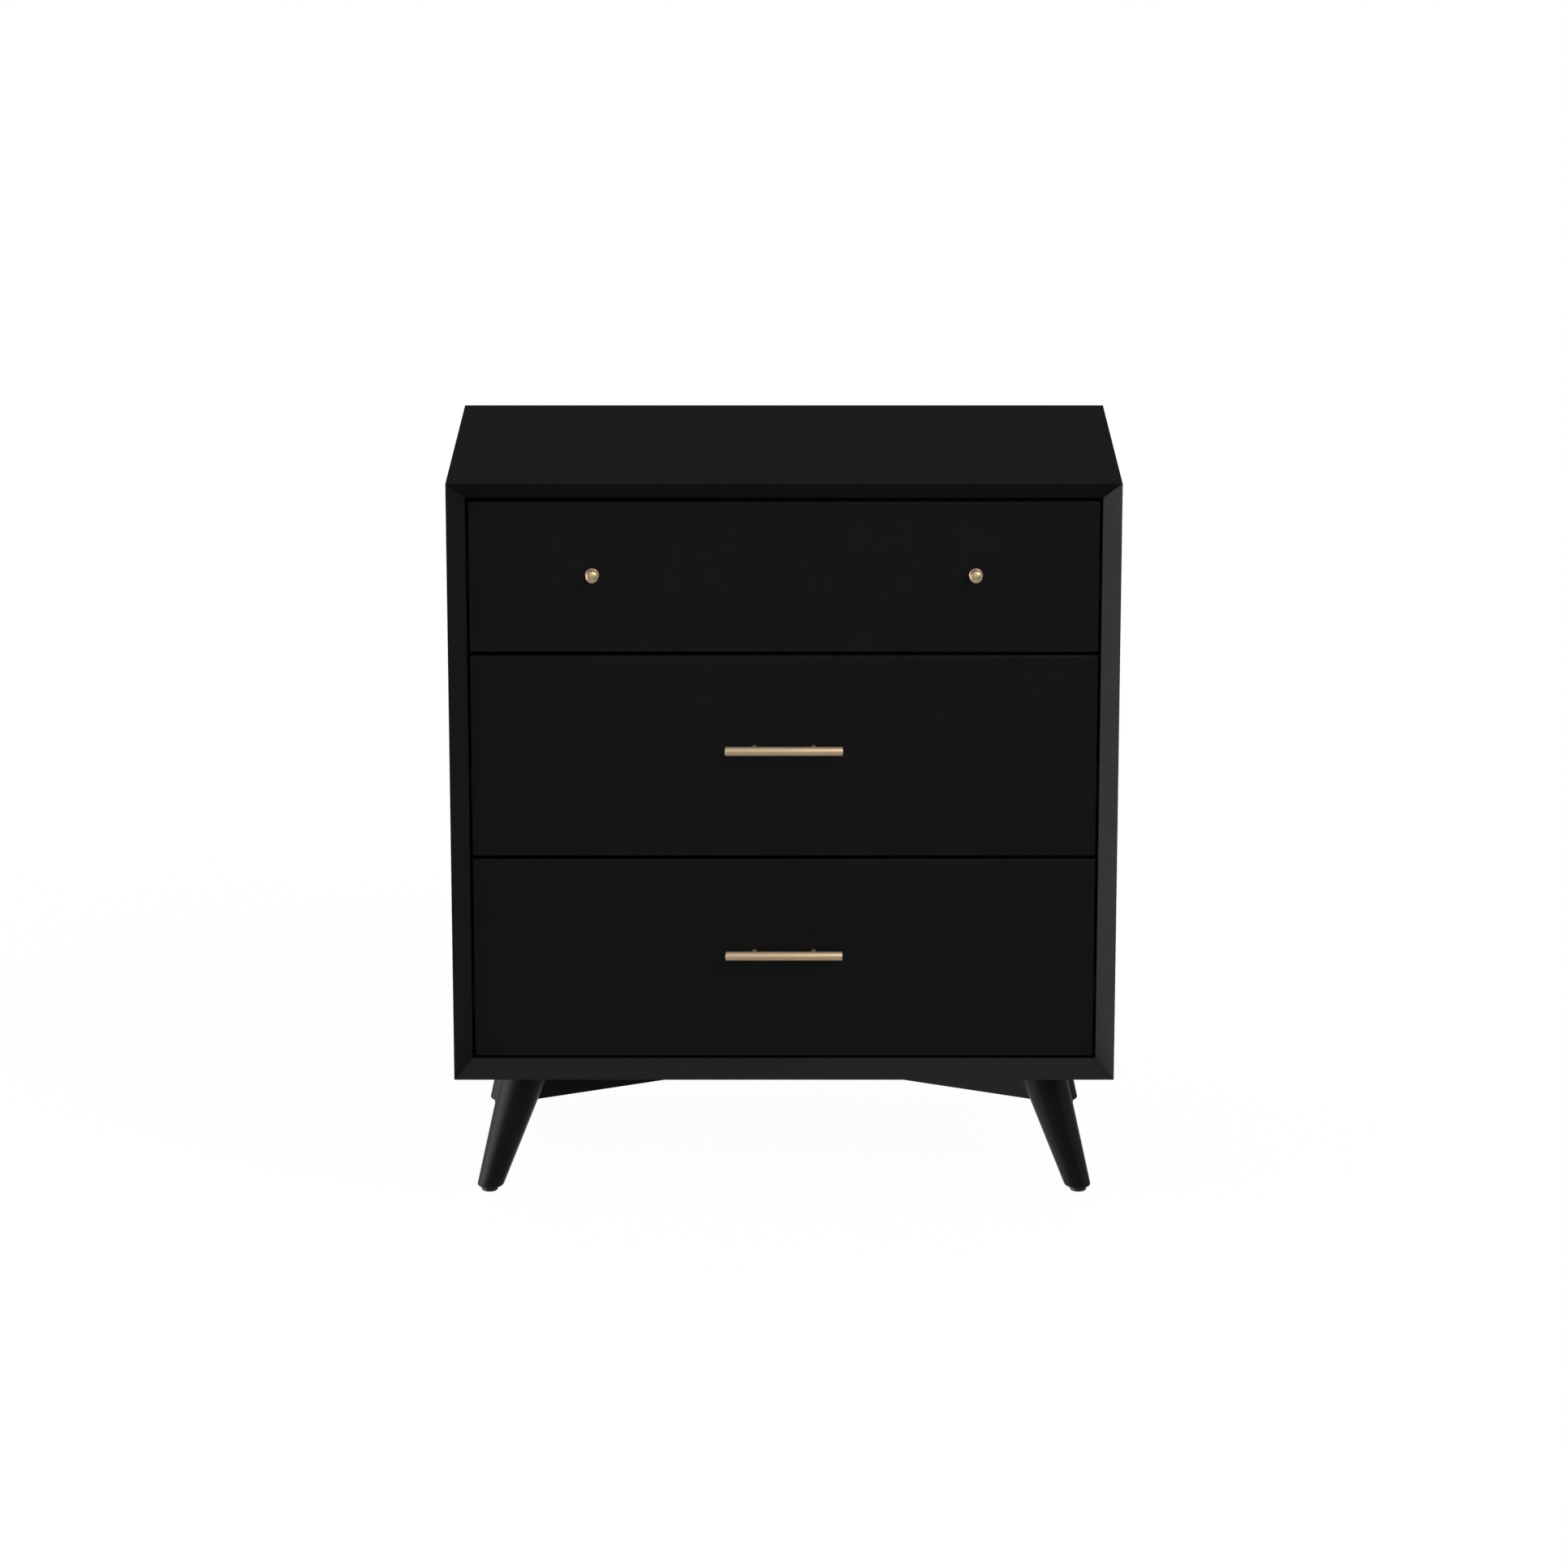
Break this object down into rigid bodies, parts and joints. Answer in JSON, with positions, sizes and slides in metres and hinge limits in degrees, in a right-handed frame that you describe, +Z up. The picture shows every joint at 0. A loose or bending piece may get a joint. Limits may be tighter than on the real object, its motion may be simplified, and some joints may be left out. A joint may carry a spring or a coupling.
{
  "type": "nightstand with drawers",
  "caption": "Black nightstand with inset drawers in a mitred, bevelled case on splayed round legs, with brass knobs above and brass bar pulls below.",
  "frame": {"origin": "on the floor, at the centre of the overall box", "axes": "+Z up; the drawer fronts face -Y; +X is to the right for someone who faces them"},
  "size_m": [0.72, 0.415, 0.81],
  "materials": {
    "black_paint": "satin black lacquer",
    "satin_brass": "satin, lacquered",
    "zinc_steel": "bright zinc plating",
    "black_steel": "black zinc plating",
    "birch": "clear lacquer",
    "birch_plywood": "clear lacquer on plywood",
    "glide_plastic": "fine matt"
  },
  "bodies": {
    "case": {"top_panel": "black_paint", "bottom_panel": "black_paint", "left_side_panel": "black_paint", "right_side_panel": "black_paint", "back_panel": "black_paint", "upper_divider": "black_paint", "lower_divider": "black_paint", "mitre_splines": "birch", "divider_dowels": "birch", "back_panel_screws": "zinc_steel", "left_front_brace": "black_paint", "right_front_brace": "black_paint", "brace_screws": "zinc_steel", "brace_dowels": "birch", "front_left_leg": "black_paint", "front_right_leg": "black_paint", "rear_left_leg": "black_paint", "rear_right_leg": "black_paint", "leg_bolts": "zinc_steel", "leg_glides": "glide_plastic", "top_case_slides": "black_steel", "middle_case_slides": "black_steel", "bottom_case_slides": "black_steel", "case_slide_screws": "zinc_steel"},
    "top_intermediate_slides": {"top_intermediate_slides": "black_steel"},
    "top_drawer": {"top_drawer_front": "black_paint", "top_box_front": "birch", "top_box_back": "birch", "top_box_left_side": "birch", "top_box_right_side": "birch", "top_box_bottom": "birch_plywood", "top_drawer_slides": "black_steel", "top_drawer_screws": "zinc_steel", "top_handle_screws": "zinc_steel", "left_knob": "satin_brass", "right_knob": "satin_brass"},
    "middle_intermediate_slides": {"middle_intermediate_slides": "black_steel"},
    "middle_drawer": {"middle_drawer_front": "black_paint", "middle_box_front": "birch", "middle_box_back": "birch", "middle_box_left_side": "birch", "middle_box_right_side": "birch", "middle_box_bottom": "birch_plywood", "middle_drawer_slides": "black_steel", "middle_drawer_screws": "zinc_steel", "middle_handle_screws": "zinc_steel", "middle_pull_bar": "satin_brass", "middle_pull_posts": "satin_brass"},
    "bottom_intermediate_slides": {"bottom_intermediate_slides": "black_steel"},
    "bottom_drawer": {"bottom_drawer_front": "black_paint", "bottom_box_front": "birch", "bottom_box_back": "birch", "bottom_box_left_side": "birch", "bottom_box_right_side": "birch", "bottom_box_bottom": "birch_plywood", "bottom_drawer_slides": "black_steel", "bottom_drawer_screws": "zinc_steel", "bottom_handle_screws": "zinc_steel", "bottom_pull_bar": "satin_brass", "bottom_pull_posts": "satin_brass"}
  },
  "joints": [
    {"name": "top_drawer_slide", "type": "slide", "parent": "case", "child": "top_drawer", "axis": [0, -1, 0], "range_m": [0, 0.35]},
    {"name": "top_intermediate_slide", "type": "slide", "parent": "case", "child": "top_intermediate_slides", "axis": [0, -1, 0], "range_m": [0, 0.175]},
    {"name": "middle_drawer_slide", "type": "slide", "parent": "case", "child": "middle_drawer", "axis": [0, -1, 0], "range_m": [0, 0.35]},
    {"name": "middle_intermediate_slide", "type": "slide", "parent": "case", "child": "middle_intermediate_slides", "axis": [0, -1, 0], "range_m": [0, 0.175]},
    {"name": "bottom_drawer_slide", "type": "slide", "parent": "case", "child": "bottom_drawer", "axis": [0, -1, 0], "range_m": [0, 0.35]},
    {"name": "bottom_intermediate_slide", "type": "slide", "parent": "case", "child": "bottom_intermediate_slides", "axis": [0, -1, 0], "range_m": [0, 0.175]}
  ],
  "couplings": [
    {"joint": "top_intermediate_slide", "follows": "top_drawer_slide", "ratio": 0.5},
    {"joint": "middle_intermediate_slide", "follows": "middle_drawer_slide", "ratio": 0.5},
    {"joint": "bottom_intermediate_slide", "follows": "bottom_drawer_slide", "ratio": 0.5}
  ]
}
